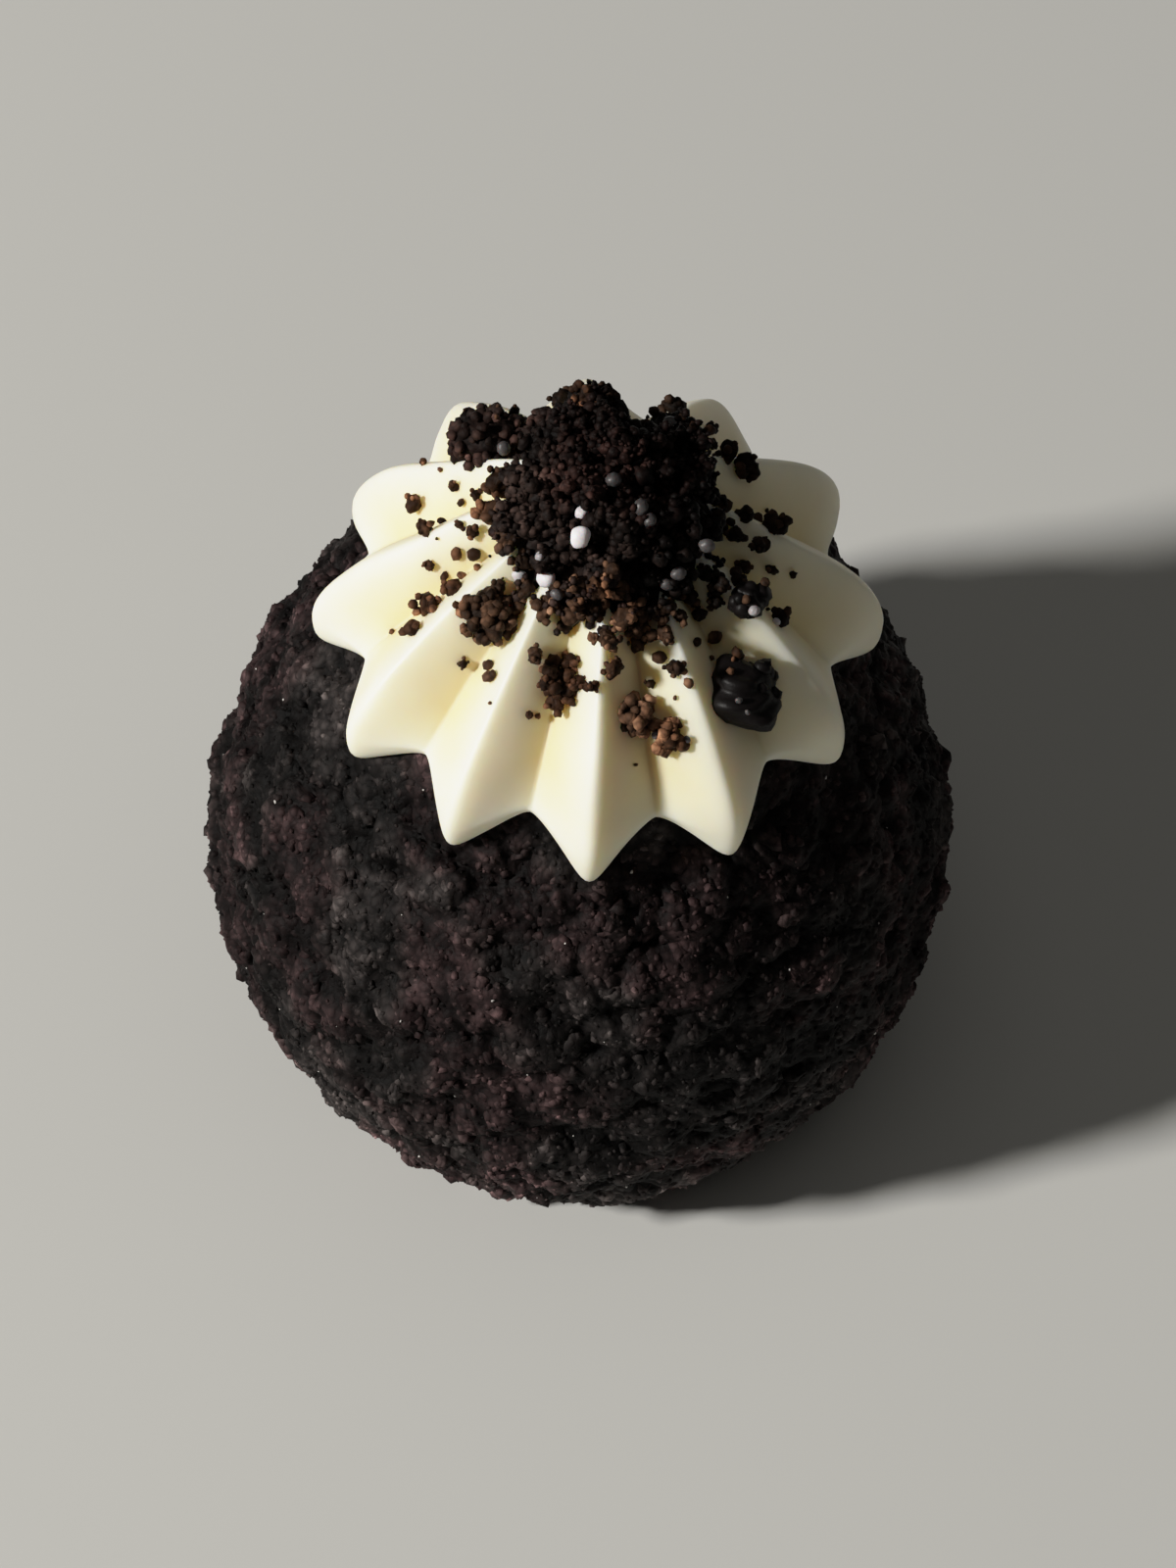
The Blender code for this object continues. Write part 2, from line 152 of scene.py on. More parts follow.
# Gaps between the heap's clumps: (from angle, to angle, from distance, to distance)
HEAP_GAPS = (
    (44, 88, 0.0024, 0.0054),
    (112, 126, 0.0050, 0.0100),
    (126, 140, 0.0064, 0.0100),
    (165, 185, 0.0052, 0.0100),
)
CREAM_CLUMPS = (
    (-134, 0.0104, 0.0042, 0.0036),
    (-76, 0.0124, 0.0028, 0.0026),
    (-68, 0.0138, 0.0025, 0.0020),
    (-100, 0.0112, 0.0023, 0.0020),
)
GLOSSY_CRUMBS = ((-43, 0.0134, 0.0052, 0.0044), (-28, 0.0109, 0.0024, 0.0020))
CREAM_CRUMBS = (
    (166, 0.0134, 0.0016, 0.0015),
    (-176, 0.0121, 0.0016, 0.0012),
    (164, 0.0108, 0.0009, 0.0009),
    (168, 0.0090, 0.0011, 0.0009),
    (-168, 0.0090, 0.0013, 0.0011),
    (-172, 0.0098, 0.0008, 0.0007),
    (-166, 0.0118, 0.0010, 0.0009),
    (-152, 0.0110, 0.0016, 0.0014),
    (-154, 0.0126, 0.0023, 0.0017),
    (-150, 0.0141, 0.0016, 0.0011),
    (-134, 0.0125, 0.0008, 0.0007),
    (-112, 0.0106, 0.0013, 0.0011),
    (-106, 0.0103, 0.0016, 0.0014),
    (-108, 0.0130, 0.0008, 0.0007),
    (-90, 0.0116, 0.0010, 0.0009),
    (-82, 0.0104, 0.0014, 0.0012),
    (-86, 0.0094, 0.0022, 0.0012),
    (-72, 0.0087, 0.0015, 0.0014),
    (-62, 0.0094, 0.0014, 0.0012),
    (-62, 0.0112, 0.0017, 0.0011),
    (-70, 0.0108, 0.0008, 0.0007),
    (-20, 0.0128, 0.0018, 0.0015),
    (-32, 0.0090, 0.0016, 0.0014),
    (-24, 0.0098, 0.0015, 0.0013),
    (-6, 0.0112, 0.0011, 0.0007),
    (-2, 0.0104, 0.0014, 0.0013),
    (6, 0.0112, 0.0022, 0.0014),
    (4, 0.0092, 0.0015, 0.0013),
    (30, 0.0104, 0.0023, 0.0020),
    (36, 0.0096, 0.0018, 0.0013),
    (56, 0.0122, 0.0010, 0.0009),
    (60, 0.0132, 0.0011, 0.0010),
    (70, 0.0118, 0.0021, 0.0018),
    (156, 0.0138, 0.0007, 0.0006),
)
# Crumbs and grains placed by the line from the camera to them: right and up are where that line
# passes through the plane across the camera's target. Crumbs: (right, up, size)
SEEN_CRUMBS = (
    (-0.0060, 0.0209, 0.0024),
    (-0.0063, 0.0188, 0.0026),
    (-0.0057, 0.0167, 0.0022),
    (-0.0045, 0.0155, 0.0018),
    (-0.0031, 0.0118, 0.0016),
    (-0.0046, 0.0125, 0.0011),
    (-0.0016, 0.0110, 0.0014),
    (-0.0036, 0.0088, 0.0012),
    (-0.0025, 0.0078, 0.0014),
    (-0.0011, 0.0084, 0.0016),
    (-0.0029, 0.0068, 0.0011),
    (-0.0008, 0.0070, 0.0013),
    (-0.0022, 0.0057, 0.0016),
    (-0.0011, 0.0057, 0.0010),
    (0.0013, 0.0098, 0.0017),
    (0.0018, 0.0079, 0.0014),
    (0.0000, 0.0067, 0.0009),
    (0.0045, 0.0103, 0.0013),
    (0.0054, 0.0102, 0.0009),
    (0.0061, 0.0080, 0.0013),
    (0.0034, 0.0103, 0.0015),
    (0.0023, 0.0115, 0.0016),
    (0.0038, 0.0118, 0.0016),
    (0.0004, 0.0118, 0.0015),
    (-0.0008, 0.0124, 0.0014),
    (0.0054, 0.0122, 0.0015),
    (0.0069, 0.0130, 0.0016),
    (0.0081, 0.0146, 0.0015),
    (0.0092, 0.0138, 0.0013),
    (0.0088, 0.0126, 0.0013),
    (0.0100, 0.0173, 0.0016),
    (0.0107, 0.0151, 0.0014),
    (0.0119, 0.0165, 0.0013),
    (0.0077, 0.0118, 0.0013),
    (0.0063, 0.0115, 0.0014),
    (-0.0026, 0.0125, 0.0018),
    (-0.0011, 0.0118, 0.0020),
    (0.0006, 0.0122, 0.0021),
    (0.0024, 0.0115, 0.0020),
    (0.0037, 0.0108, 0.0015),
    (0.0054, 0.0102, 0.0011),
    (-0.0042, 0.0135, 0.0015),
    (-0.0017, 0.0265, 0.0020),
    (0.0001, 0.0267, 0.0023),
    (0.0014, 0.0267, 0.0020),
    (-0.0062, 0.0136, 0.0014),
    (-0.0023, 0.0133, 0.0016),
    (-0.0008, 0.0135, 0.0018),
    (0.0007, 0.0136, 0.0019),
    (0.0022, 0.0133, 0.0018),
    (0.0034, 0.0126, 0.0016),
    (0.0049, 0.0118, 0.0015),
    (0.0015, 0.0147, 0.0014),
)
# Pale sugar grains, a few of which, on the glossy crumb and the front clump, stand in for glints as
# painted highlights: (right, up, size, brightness). A low brightness is painted shade on the grains in
# the heap's shade, and partly their own dusting of dark crumb.
SUGAR_GRAINS_AND_GLINTS = (
    (-0.0003, 0.0185, 0.0011, 0.8),
    (-0.0005, 0.0169, 0.0015, 1.0),
    (-0.0027, 0.0142, 0.0013, 0.85),
    (-0.0047, 0.0145, 0.0010, 0.7),
    (-0.0034, 0.0156, 0.0008, 0.35),
    (-0.0057, 0.0231, 0.0010, 0.03),
    (0.0034, 0.0223, 0.0010, 0.024),
    (0.0018, 0.0210, 0.0011, 0.015),
    (0.0038, 0.0193, 0.0011, 0.015),
    (0.0044, 0.0182, 0.0010, 0.015),
    (0.0058, 0.0250, 0.0010, 0.024),
    (0.0080, 0.0164, 0.0011, 0.045),
    (0.0063, 0.0145, 0.0011, 0.036),
    (0.0054, 0.0138, 0.0009, 0.024),
    (-0.0022, 0.0129, 0.0009, 0.045),
    (0.0115, 0.0121, 0.0008, 0.35),
    (0.0104, 0.0057, 0.0005, 0.03),
    (0.0110, 0.0050, 0.0004, 0.03),
    (0.0048, 0.0034, 0.0006, 0.045),
    (0.0068, 0.0030, 0.0005, 0.03),
    (0.0130, 0.0112, 0.0006, 0.6),
)
# Crumbs that stick to a clump: (how many on a clump of the usual size, their shortest and longest)
ON_HEAP_CLUMPS = (20, (0.0006, 0.0011))
ON_CREAM_CLUMPS = (18, (0.0006, 0.0011))
ON_CREAM_CRUMBS = (5, (0.0005, 0.0009))
ON_SEEN_CRUMBS = (6, (0.0005, 0.0009))
ON_GLOSSY_CRUMBS = (6, (0.0010, 0.0017))
GLOSSY_CORE = 0.96
GLOSSY_EVENNESS = (0.25, 0)  # lumpiness and roughness
SUGAR_EVENNESS = (0.09, 0.01)
# Crumbs dropped at random: (how many, shortest and longest, nearest and farthest from the star's
# axis, how fast they thin out)
HEAP_TOPPING = (210, (0.0007, 0.0015), (0, 0.0072), 0.6)
NEAR_CRUMBS = (60, (0.0006, 0.0011), (0.0066, 0.0112), 1.2)
FAR_CRUMBS = (45, (0.0003, 0.0006), (0.0095, 0.0140), 1.3)
HEAP_GRAINS = (900, (0.0003, 0.0007), (0, 0.0078), 0.55)
DROPPED_FLATNESS = 0.65
DROP_HEIGHT = 0.1
DROP_LIFT = 0.3  # of a crumb's length, how far over the surface its centre comes to rest
SEEN_LIFT = 0.25
SEEN_FORWARD = 1.5  # how much farther such a crumb is lifted towards the camera than off the surface
SEEN_PROPORTIONS = (1, 0.9, 0.8)
SUGAR_LIFT = 0.45
CRUMB_SINK = 0.15  # of its length
GOLDEN_ANGLE = math.pi * (3 - math.sqrt(5))
HALVINGS = 22

# ---- Camera: where the photographer stood, with a longer lens ----

CAMERA_ELEVATION = math.radians(57)
CAMERA_ROLL = math.radians(4.5)
CAMERA_DISTANCE = 0.415
CAMERA_TARGET = Vector((0.0005, 0, 0.0225))
CAMERA_LENS = 138


def aim_camera():
    data = bpy.data.cameras.new("camera")
    data.lens = CAMERA_LENS
    camera = bpy.data.objects.new("camera", data)
    bpy.context.scene.collection.objects.link(camera)
    back = Vector((0, -math.cos(CAMERA_ELEVATION), math.sin(CAMERA_ELEVATION)))
    turn = back.to_track_quat("Z", "Y").to_matrix() @ Matrix.Rotation(CAMERA_ROLL, 3, "Z")
    camera.rotation_euler = turn.to_euler()
    camera.location = CAMERA_TARGET + back * CAMERA_DISTANCE
    bpy.context.scene.camera = camera


# ---- Meshes from arrays ----


def grid_faces(rows, columns):
    """Four-sided faces between closed rings of points, ring after ring."""
    row, column = np.meshgrid(np.arange(rows - 1), np.arange(columns), indexing="ij")
    after = (column + 1) % columns
    corners = (row * columns + column, (row + 1) * columns + column)
    corners += ((row + 1) * columns + after, row * columns + after)
    return np.stack(corners, -1).reshape(-1, 4)


def closed_rings(rings, first_pole, last_pole):
    """Points and faces of a closed skin: a pole, rings of equally many points, and a pole."""
    columns = len(rings[0])
    points = np.array([point for ring in rings for point in ring] + [first_pole, last_pole])
    first, last = len(points) - 2, len(points) - 1
    faces = grid_faces(len(rings), columns).tolist()
    start = (len(rings) - 1) * columns
    for column in range(columns):
        after = (column + 1) % columns
        faces.append((first, column, after))
        faces.append((last, start + after, start + column))
    return points, faces


def as_batch(points, faces):
    """Points, three-sided faces and plain tones, in the form of a batch of crumbs."""
    corners = [[face[0], face[i], face[i + 1]] for face in faces for i in range(1, len(face) - 1)]
    return points, np.array(corners), np.zeros(len(points))


def add_piece(name, points, faces, material, slot, **attributes):
    """A smooth-shaded piece that rides on the cake, with its number attributes at the points."""
    mesh = bpy.data.meshes.new(name)
    mesh.from_pydata(points.tolist(), [], faces if isinstance(faces, list) else faces.tolist())
    for label, values in attributes.items():
        mesh.attributes.new(label, "FLOAT", "POINT").data.foreach_set("value", values)
    shape = bmesh.new()
    shape.from_mesh(mesh)
    bmesh.ops.recalc_face_normals(shape, faces=shape.faces)
    shape.to_mesh(mesh)
    shape.free()
    mesh.transform(Matrix.Translation(CENTRING))
    mesh.shade_smooth()
    mesh.materials.append(material)
    piece = bpy.data.objects.new(name, mesh)
    bpy.context.scene.collection.objects.link(piece)
    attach(piece, "root")
    return piece


# ---- Cake body ----


def crown_height(radius):
    return EQUATOR_HEIGHT + CROWN_RISE * math.sqrt(1 - min(radius / BODY_RADIUS, 1) ** 2)


def bareness(point):
    """0 where the crown carries the cream, 1 where it is craggy."""
    return min(max((point.xy.length - SMOOTH_SEAT_RADIUS) / SEAT_FADE, 0), 1)


def packed_crumbs(point, layers):
    """(depth below the crumbs' tops, 0 to 1, and a random tone for each crumb) of packed crumbs."""
    bent = point + noise.noise_vector(point / (2 * CRUMB_BEND)) * CRUMB_BEND
    depth = tone = 0
    for size, weight in layers:
        distances, centres = noise.voronoi(bent / size)
        chance = math.sin(centres[0].dot(HASH_WAY)) * HASH_SCALE % 1
        away = min(distances[0] / CRUMB_ROUNDNESS, 1)
        rounding = 1 - math.sqrt(1 - away * away)
        depth += weight * ((1 - CRUMB_UNEVENNESS) * rounding + CRUMB_UNEVENNESS * chance)
        tone += chance / len(layers)
    return depth / sum(weight for _, weight in layers), tone


def smooth_point(outward):
    """The cake's smooth surface in a direction from its centre: round above and fuller below."""
    rise, fullness = (CROWN_RISE, 2) if outward.z > 0 else (BODY_RADIUS, FOOT_FULLNESS)
    flat = math.hypot(outward.x, outward.y)
    reach = (flat**fullness + abs(outward.z) ** fullness) ** (-1 / fullness)
    return Vector((0, 0, EQUATOR_HEIGHT)) + reach * outward * Vector((BODY_RADIUS, BODY_RADIUS, rise))


def body_point(outward):
    """(point, depth of its pit, its crumb's tone) of the cake's surface, in a direction outward."""
    smooth = smooth_point(outward)
    lumps = LUMP_DEPTH * (0.5 + 0.5 * noise.noise(smooth / LUMP_SIZE))
    crags = CRAG_DEPTH * noise.voronoi(smooth / CRAG_SIZE)[0][0] ** CRAG_SHARPNESS
    pit, tone = packed_crumbs(smooth, CRUMB_LAYERS)
    fine = (pit - LEVEL_PIT) * sum(depth for _, depth in CRUMB_LAYERS)
    depth = (lumps + crags) * bareness(smooth) + fine * max(bareness(smooth), SEAT_RELIEF)
    return smooth - outward * depth, pit, tone


def way_out(turn, angle):
    """A direction, by its turn from straight up and its angle round the cake."""
    return Vector((math.sin(turn) * math.cos(angle), math.sin(turn) * math.sin(angle), math.cos(turn)))


def make_body(material):
    seat_turn = math.asin(CAP_RADIUS / BODY_RADIUS)
    foot_turn = math.acos(-EQUATOR_HEIGHT / BODY_RADIUS)
    turns = [seat_turn * row / CAP_ROWS for row in range(1, CAP_ROWS)]
    turns += [seat_turn + (foot_turn - seat_turn) * row / BODY_ROWS for row in range(BODY_ROWS + 1)]
    rings, painted_pit_shades, tones = [], [], []
    for turn in turns:
        ring = []
        for column in range(BODY_COLUMNS):
            point, pit, tone = body_point(way_out(turn, math.tau * column / BODY_COLUMNS))
            ring.append((point.x, point.y, max(point.z, 0)))
            painted_pit_shades.append(PAINTED_SHADE_BETWEEN_CRUMBS + pit)
            tones.append(tone)
        rings.append(ring)
    rings.append([(x * BASE_RING, y * BASE_RING, 0) for x, y, _ in rings[-1]])
    points, faces = closed_rings(rings, (0, 0, crown_height(0)), (0, 0, 0))
    out_of_sight = [0.5] * (len(points) - len(painted_pit_shades))
    painted_pit_shades += out_of_sight
    tones += out_of_sight
    piece = add_piece("brownie_body", points, faces, material, "cake", pit=painted_pit_shades, tone=tones)
    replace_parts(piece, "brownie")


# ---- The star's form ----


def bezier(points, share):
    while len(points) > 1:
        points = [a.lerp(b, share) for a, b in zip(points, points[1:])]
    return points[0]


def ridge_share(across):
    """1 on a ridge's rounded crest and 0 in the valley. across is 0 at a crest, 1 at the next."""
    away = 2 * min(across, 1 - across)
    rounding = CREST_ROUNDING
    return 1 - (math.hypot(away, rounding) - rounding) / (math.hypot(1, rounding) - rounding)


def lobe_angle(number):
    turns, lobe = divmod(number, LOBES)
    return STAR_TURN + math.radians(LOBE_TURNS[lobe]) + math.tau * (turns + lobe / LOBES)


def star_column(column):
    """(angle, ridge share, reach) of the star at a column, which counts lobes round the star."""
    lobe = math.floor(column)
    across = column - lobe
    angle = lobe_angle(lobe) * (1 - across) + lobe_angle(lobe + 1) * across
    reach = LOBE_REACHES[lobe % LOBES] * (1 - across) + LOBE_REACHES[(lobe + 1) % LOBES] * across
    return angle, ridge_share(across), reach


def star_outline(column):
    """(horizontal direction, ridge share, outer radius) at a column."""
    angle, ridge, reach = star_column(column)
    way = Vector((math.cos(angle) * STAR_STRETCH.x, math.sin(angle) * STAR_STRETCH.y))
    return way, ridge, reach * (VALLEY_RADIUS + (TIP_RADIUS - VALLEY_RADIUS) * ridge**TIP_SHARPNESS)


def section_controls(section, radius, edge_height):
    bases = (PEAK_HEIGHT, PEAK_HEIGHT, edge_height, edge_height, edge_height)
    return [Vector((share * radius, base + rise)) for (share, rise), base in zip(section, bases)]


def seat_height(place):
    return crown_height(place.length) + SEAT_GAP


def star_section_point(column, share):
    """(distance from the axis, height) of the star's top: share is 0 at the peak, 1 at the edge."""
    way, ridge, radius = star_outline(column)
    nose = TIP_NOSE * ridge + VALLEY_NOSE * (1 - ridge)
    nose *= 1 + THICKENING * max(way.dot(THICK_WAY), 0)
    edge_height = seat_height(CREAM_CENTRE + way * radius) + nose
    crest = section_controls(CREST_SECTION, radius, edge_height)
    valley = section_controls(VALLEY_SECTION, radius, edge_height)
    fullness = 1 - (1 - ridge) ** (CREST_FULLNESS + (1 - CREST_FULLNESS) * share**2)
    return bezier([low.lerp(high, fullness) for low, high in zip(valley, crest)], share)


def cream_top(column, share):
    section = star_section_point(column, share)
    place = CREAM_CENTRE + star_outline(column)[0] * section.x
    return Vector((place.x, place.y, section.y))


def cream_under(column, share):
    way, _, radius = star_outline(column)
    place = CREAM_CENTRE + way * ((radius - TUCK) * (1 - share))
    return Vector((place.x, place.y, seat_height(place) - FOOT_SINK))


def cream_edge(column, share):
    outermost = cream_top(column, 1)
    foot = cream_under(column, 0)
    corner = Vector((outermost.x, outermost.y, foot.z))
    return bezier([outermost, corner, foot], share)


def halve(low, high, is_before):
    for _ in range(HALVINGS):
        middle = (low + high) / 2
        low, high = (middle, high) if is_before(middle) else (low, middle)
    return low


def cream_share(column, distance):
    reach = min(distance, star_outline(column)[2])
    return halve(0, 1, lambda share: star_section_point(column, share).x < reach)


def column_at(angle):
    target = (angle - lobe_angle(0)) % math.tau + lobe_angle(0)
    return halve(0, LOBES, lambda number: star_column(number)[0] < target)


def cream_surface(angle, distance):
    column = column_at(angle)
    return cream_top(column, cream_share(column, distance))


def make_cream(material):
    """The star. Its points know how deep in a valley they lie, where painted shade and bounce light
    make the cream yellower and darker.
    """
    columns = LOBES * CREAM_COLUMNS
    places = [("top", ring / TOP_RINGS) for ring in range(1, TOP_RINGS + 1)]
    places += [("edge", ring / EDGE_RINGS) for ring in range(1, EDGE_RINGS + 1)]
    places += [("under", ring / SEAT_RINGS) for ring in range(1, SEAT_RINGS)]
    shapers = {"top": cream_top, "edge": cream_edge, "under": cream_under}
    rings, painted_valley_shades = [], []
    for part, share in places:
        ring = []
        for number in range(columns):
            column = number / CREAM_COLUMNS
            point = shapers[part](column, share)
            ring.append(point + noise.noise_vector(point / CREAM_WAVER_SIZE) * CREAM_WAVER)
            fade = min(1, 2 * math.sin(math.pi * share))
            painted_valley_shades.append((1 - star_column(column)[1]) * fade if part == "top" else 0)
        rings.append(ring)
    points, faces = closed_rings(rings, cream_top(0, 0), cream_under(0, 1))
    painted_valley_shades += [0, 0]
    piece = add_piece("cream_star", points, faces, material, "cream", valley=painted_valley_shades)
    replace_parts(piece, "cream")
    return as_batch(points, faces)


# ---- Crumbs: lumpy balls, many at a time ----


def unit_ball(subdivisions):
    """Points and three-sided faces of a ball of radius a half. Without subdivisions it has 36 faces.

    The faces and their corners are sorted, because Blender's order differs from run to run.
    """
    shape = bmesh.new()
    if subdivisions:
        bmesh.ops.create_icosphere(shape, subdivisions=subdivisions, radius=0.5)
    else:
        bmesh.ops.create_uvsphere(shape, u_segments=6, v_segments=4, radius=0.5)
        bmesh.ops.triangulate(shape, faces=shape.faces)
    points = np.array([vertex.co[:] for vertex in shape.verts])
    faces = [[vertex.index for vertex in face.verts] for face in shape.faces]
    shape.free()
    starts = [face.index(min(face)) for face in faces]
    faces = sorted(face[start:] + face[:start] for face, start in zip(faces, starts))
    return points, np.array(faces)


# 20, 36, 80, 320 and 1280 faces
BALL_SUBDIVISIONS = {"coarse": 1, "middling": 0, "fine": 2, "finer": 3, "finest": 4}
BALLS = {name: unit_ball(subdivisions) for name, subdivisions in BALL_SUBDIVISIONS.items()}
SWELL_WAVES = 6
LUMP_RATES = (4, 9)  # a crumb's broad lumps and its finer ones
SWELL_LIMITS = (0.4, 1.6)
CRUMB_LUMPINESS = 0.3
CRUMB_ROUGHNESS = 0.06
EVEN = (0.2, 0.03)  # lumpiness and roughness of the rounder crumbs
LOOSE_PIT = 0.2  # how deep in a pit a loose crumb counts, and so how much painted shade it gets

# Clumps: a core with smaller crumbs stuck on
CORE_SHARE = 0.74  # of the clump's size
USUAL_CLUMP = 0.002  # a clump this long has the full count of stuck-on crumbs
FEWEST_GRAINS = 3
GRAIN_REACH = 0.95  # of the clump's half size, how far out the farthest crumb's centre lies
GRAIN_FLATNESS = 0.75


def swell(points, count, rate):
    """For each of count balls, a smooth random number at each point, about -1 to 1."""
    ways = rng.normal(size=(count, SWELL_WAVES, 3)) * rate
    phases = rng.uniform(0, math.tau, (count, 1, SWELL_WAVES))
    waves = np.cos(np.einsum("vc,nwc->nvw", points, ways) + phases)
    return waves.sum(-1) / math.sqrt(SWELL_WAVES)


def random_turns(count):
    """Random rotation matrices, from random quaternions."""
    w, x, y, z = rng.normal(size=(4, count))
    length = np.sqrt(w * w + x * x + y * y + z * z)
    w, x, y, z = w / length, x / length, y / length, z / length
    rows = (
        (1 - 2 * (y * y + z * z), 2 * (x * y - z * w), 2 * (x * z + y * w)),
        (2 * (x * y + z * w), 1 - 2 * (x * x + z * z), 2 * (y * z - x * w)),
        (2 * (x * z - y * w), 2 * (y * z + x * w), 1 - 2 * (x * x + y * y)),
    )
    return np.moveaxis(np.array(rows), -1, 0)


def lumpy_balls(centres, sizes, ball, lumpiness=CRUMB_LUMPINESS, roughness=CRUMB_ROUGHNESS):
    """Points, faces and tones of uneven crumbs. sizes holds a length, width and height for each."""
    corners, faces = BALLS[ball]
    count = len(centres)
    lumps = sum(swell(corners, count, rate) for rate in LUMP_RATES) / len(LUMP_RATES)
    radius = 1 + lumpiness * lumps
    radius += rng.normal(size=radius.shape) * roughness
    shapes = corners[None] * np.clip(radius, *SWELL_LIMITS)[..., None] * np.asarray(sizes)[:, None, :]
    shapes = np.einsum("nij,nvj->nvi", random_turns(count), shapes)
    points = (shapes + np.asarray(centres)[:, None, :]).reshape(-1, 3)
    offsets = np.arange(count)[:, None, None] * len(corners)
    tones = np.repeat(rng.uniform(0, 1, count), len(corners))
    return points, (faces[None] + offsets).reshape(-1, 3), tones


def uneven_sizes(lengths, flattest):
    """(length, width, height) of crumbs, none of them flatter than that share of its length."""
    lengths = np.asarray(lengths)
    widths = lengths[:, None] * rng.uniform(flattest, 1, (len(lengths), 2))
    return np.concatenate([lengths[:, None], widths], 1)


def joined(batches):
    """Several (points, faces, tones) as one."""
    starts = np.cumsum([0] + [len(points) for points, _, _ in batches])
    points = np.concatenate([points for points, _, _ in batches])
    faces = np.concatenate([faces + start for (_, faces, _), start in zip(batches, starts)])
    return points, faces, np.concatenate([tones for _, _, tones in batches])


def add_crumb_piece(name, batches, material):
    points, faces, tones = joined(batches)
    painted_pit_shades = np.full(len(points), LOOSE_PIT)
    return add_piece(name, points, faces, material, "crumb", tone=tones, pit=painted_pit_shades)


def tree_of(batches):
    """What crumbs can land on."""
    points, faces, _ = joined(batches)
    return BVHTree.FromPolygons(points.tolist(), faces.tolist())


def coated(clump_centres, clump_sizes, grains_each, grain_limits):
    """Clumps with smaller crumbs stuck all over them, as crushed cookie clings together."""
    cores = np.asarray(clump_sizes) * CORE_SHARE
    points, faces, tones = lumpy_balls(clump_centres, cores, "finer")
    # The cores take the darkest tone: painted shade in the gaps between their stuck-on crumbs
    batches = [(points, faces, 0 * tones)]
    centres, lengths = [], []
    for centre, size in zip(clump_centres, clump_sizes):
        scale = max(size) / USUAL_CLUMP
        count = max(FEWEST_GRAINS, round(grains_each * scale**2))
        ways = rng.normal(size=(count, 3))
        ways /= np.linalg.norm(ways, axis=1)[:, None]
        half = np.array(size) / 2 * rng.uniform(CORE_SHARE, GRAIN_REACH, (count, 1))
        centres.extend(np.array(centre) + ways * half)
        lengths.extend(rng.uniform(*grain_limits, count) * min(1, scale))
    sizes = uneven_sizes(lengths, GRAIN_FLATNESS)
    batches.append(lumpy_balls(centres, sizes, "middling", *EVEN))
    return batches


# ---- Crumb coat of the cake ----


def under_cream(point):
    """Whether a point of the cake is covered by the star, apart from its outer margin."""
    if point.z < EQUATOR_HEIGHT:
        return False
    away = point.xy - CREAM_CENTRE
    unstretched = Vector((away.x / STAR_STRETCH.x, away.y / STAR_STRETCH.y))
    column = column_at(math.atan2(unstretched.y, unstretched.x))
    return unstretched.length < star_outline(column)[2] - COAT_MARGIN


def coat_places(count, wanted):
    """Evenly spread places on the bare cake, as (point, direction outward, depth of its pit)."""
    lowest = -EQUATOR_HEIGHT / BODY_RADIUS
    places = []
    for number in range(count):
        height = 1 - (1 - lowest) * (number + 0.5) / count
        angle = number * GOLDEN_ANGLE
        flat = math.sqrt(1 - height * height)
        outward = Vector((flat * math.cos(angle), flat * math.sin(angle), height))
        outward = (outward + Vector(rng.normal(size=3) * COAT_SCATTER)).normalized()
        point, pit, _ = body_point(outward)
        if point.z > COAT_LOWEST and wanted(point, pit) and not under_cream(point):
            places.append((point, outward, pit))
    return places


def add_coat(name, count, limits, sunk, ball, wanted, material, power=2.0):
    """Crumbs of the coat, sunk into the surface by a share of their length, with painted shade where
    they sit in its pits.

    Their lengths lie within the limits, and the higher the power is, the more of them are small.
    """
    places = coat_places(count, wanted)
    lengths = limits[0] + (limits[1] - limits[0]) * rng.uniform(0, 1, len(places)) ** power
    centres = []
    for (point, outward, _), length in zip(places, lengths):
        centre = point - outward * (sunk * length)
        centres.append((centre.x, centre.y, max(centre.z, length * COAT_FLOOR)))
    sizes = uneven_sizes(lengths, COAT_FLATNESS)
    points, faces, tones = lumpy_balls(centres, sizes, ball, COAT_LUMPINESS)
    painted_pit_shades = np.repeat([pit for _, _, pit in places], len(BALLS[ball][0]))
    add_piece(name, points, faces, material, "cake", tone=tones, pit=painted_pit_shades)


def on_clusters(point, pit):
    """Whether a crumb sticks out here: they do where the cake's clusters bulge."""
    return pit < CLUSTER_PIT + CLUSTER_VARIETY * noise.noise(point / CLUSTER_SIZE)


def anywhere(point, pit):
    """Everywhere but in the deepest pits."""
    return pit < DEEPEST_PIT


def make_coat(material, speck_and_glint_material):
    add_coat("brownie_clumps", 3000, (0.0012, 0.0021), 0.38, "fine", on_clusters, material, 1.5)
    add_coat("brownie_crumbs", 8500, (0.0007, 0.0013), 0.34, "middling", on_clusters, material, 1.2)
    add_coat("brownie_grains", 11000, (0.00035, 0.0008), 0.20, "coarse", anywhere, material)
    # Pale sugar specks, which also stand in for glints: painted highlights
    add_coat("pale_specks_and_glints", 150, (0.00012, 0.00030), -0.1, "coarse", anywhere, speck_and_glint_material)


# ---- Crumb heap ----


def heap_lean(angle):
    """How far the heap reaches in a direction, as a share of its reach to the sides."""
    return 1 - HEAP_LEAN * math.sin(angle)


def heap_cover(angle, distance):
    """Height of the heap's core above the cream: it fills the valleys and thins out to its rim."""
    share = min(distance / (HEAP_RADIUS * heap_lean(angle)), 1)
    ridge_top = cream_top(0, cream_share(0, distance)).z
    valley_fill = max(ridge_top - cream_surface(angle, distance).z, 0)
    return (1 - share**4) * valley_fill + (1 - share**2) * HEAP_RISE


def heap_surface(angle, distance):
    point = cream_surface(angle, distance)
    return point + Vector((0, 0, heap_cover(angle, distance)))


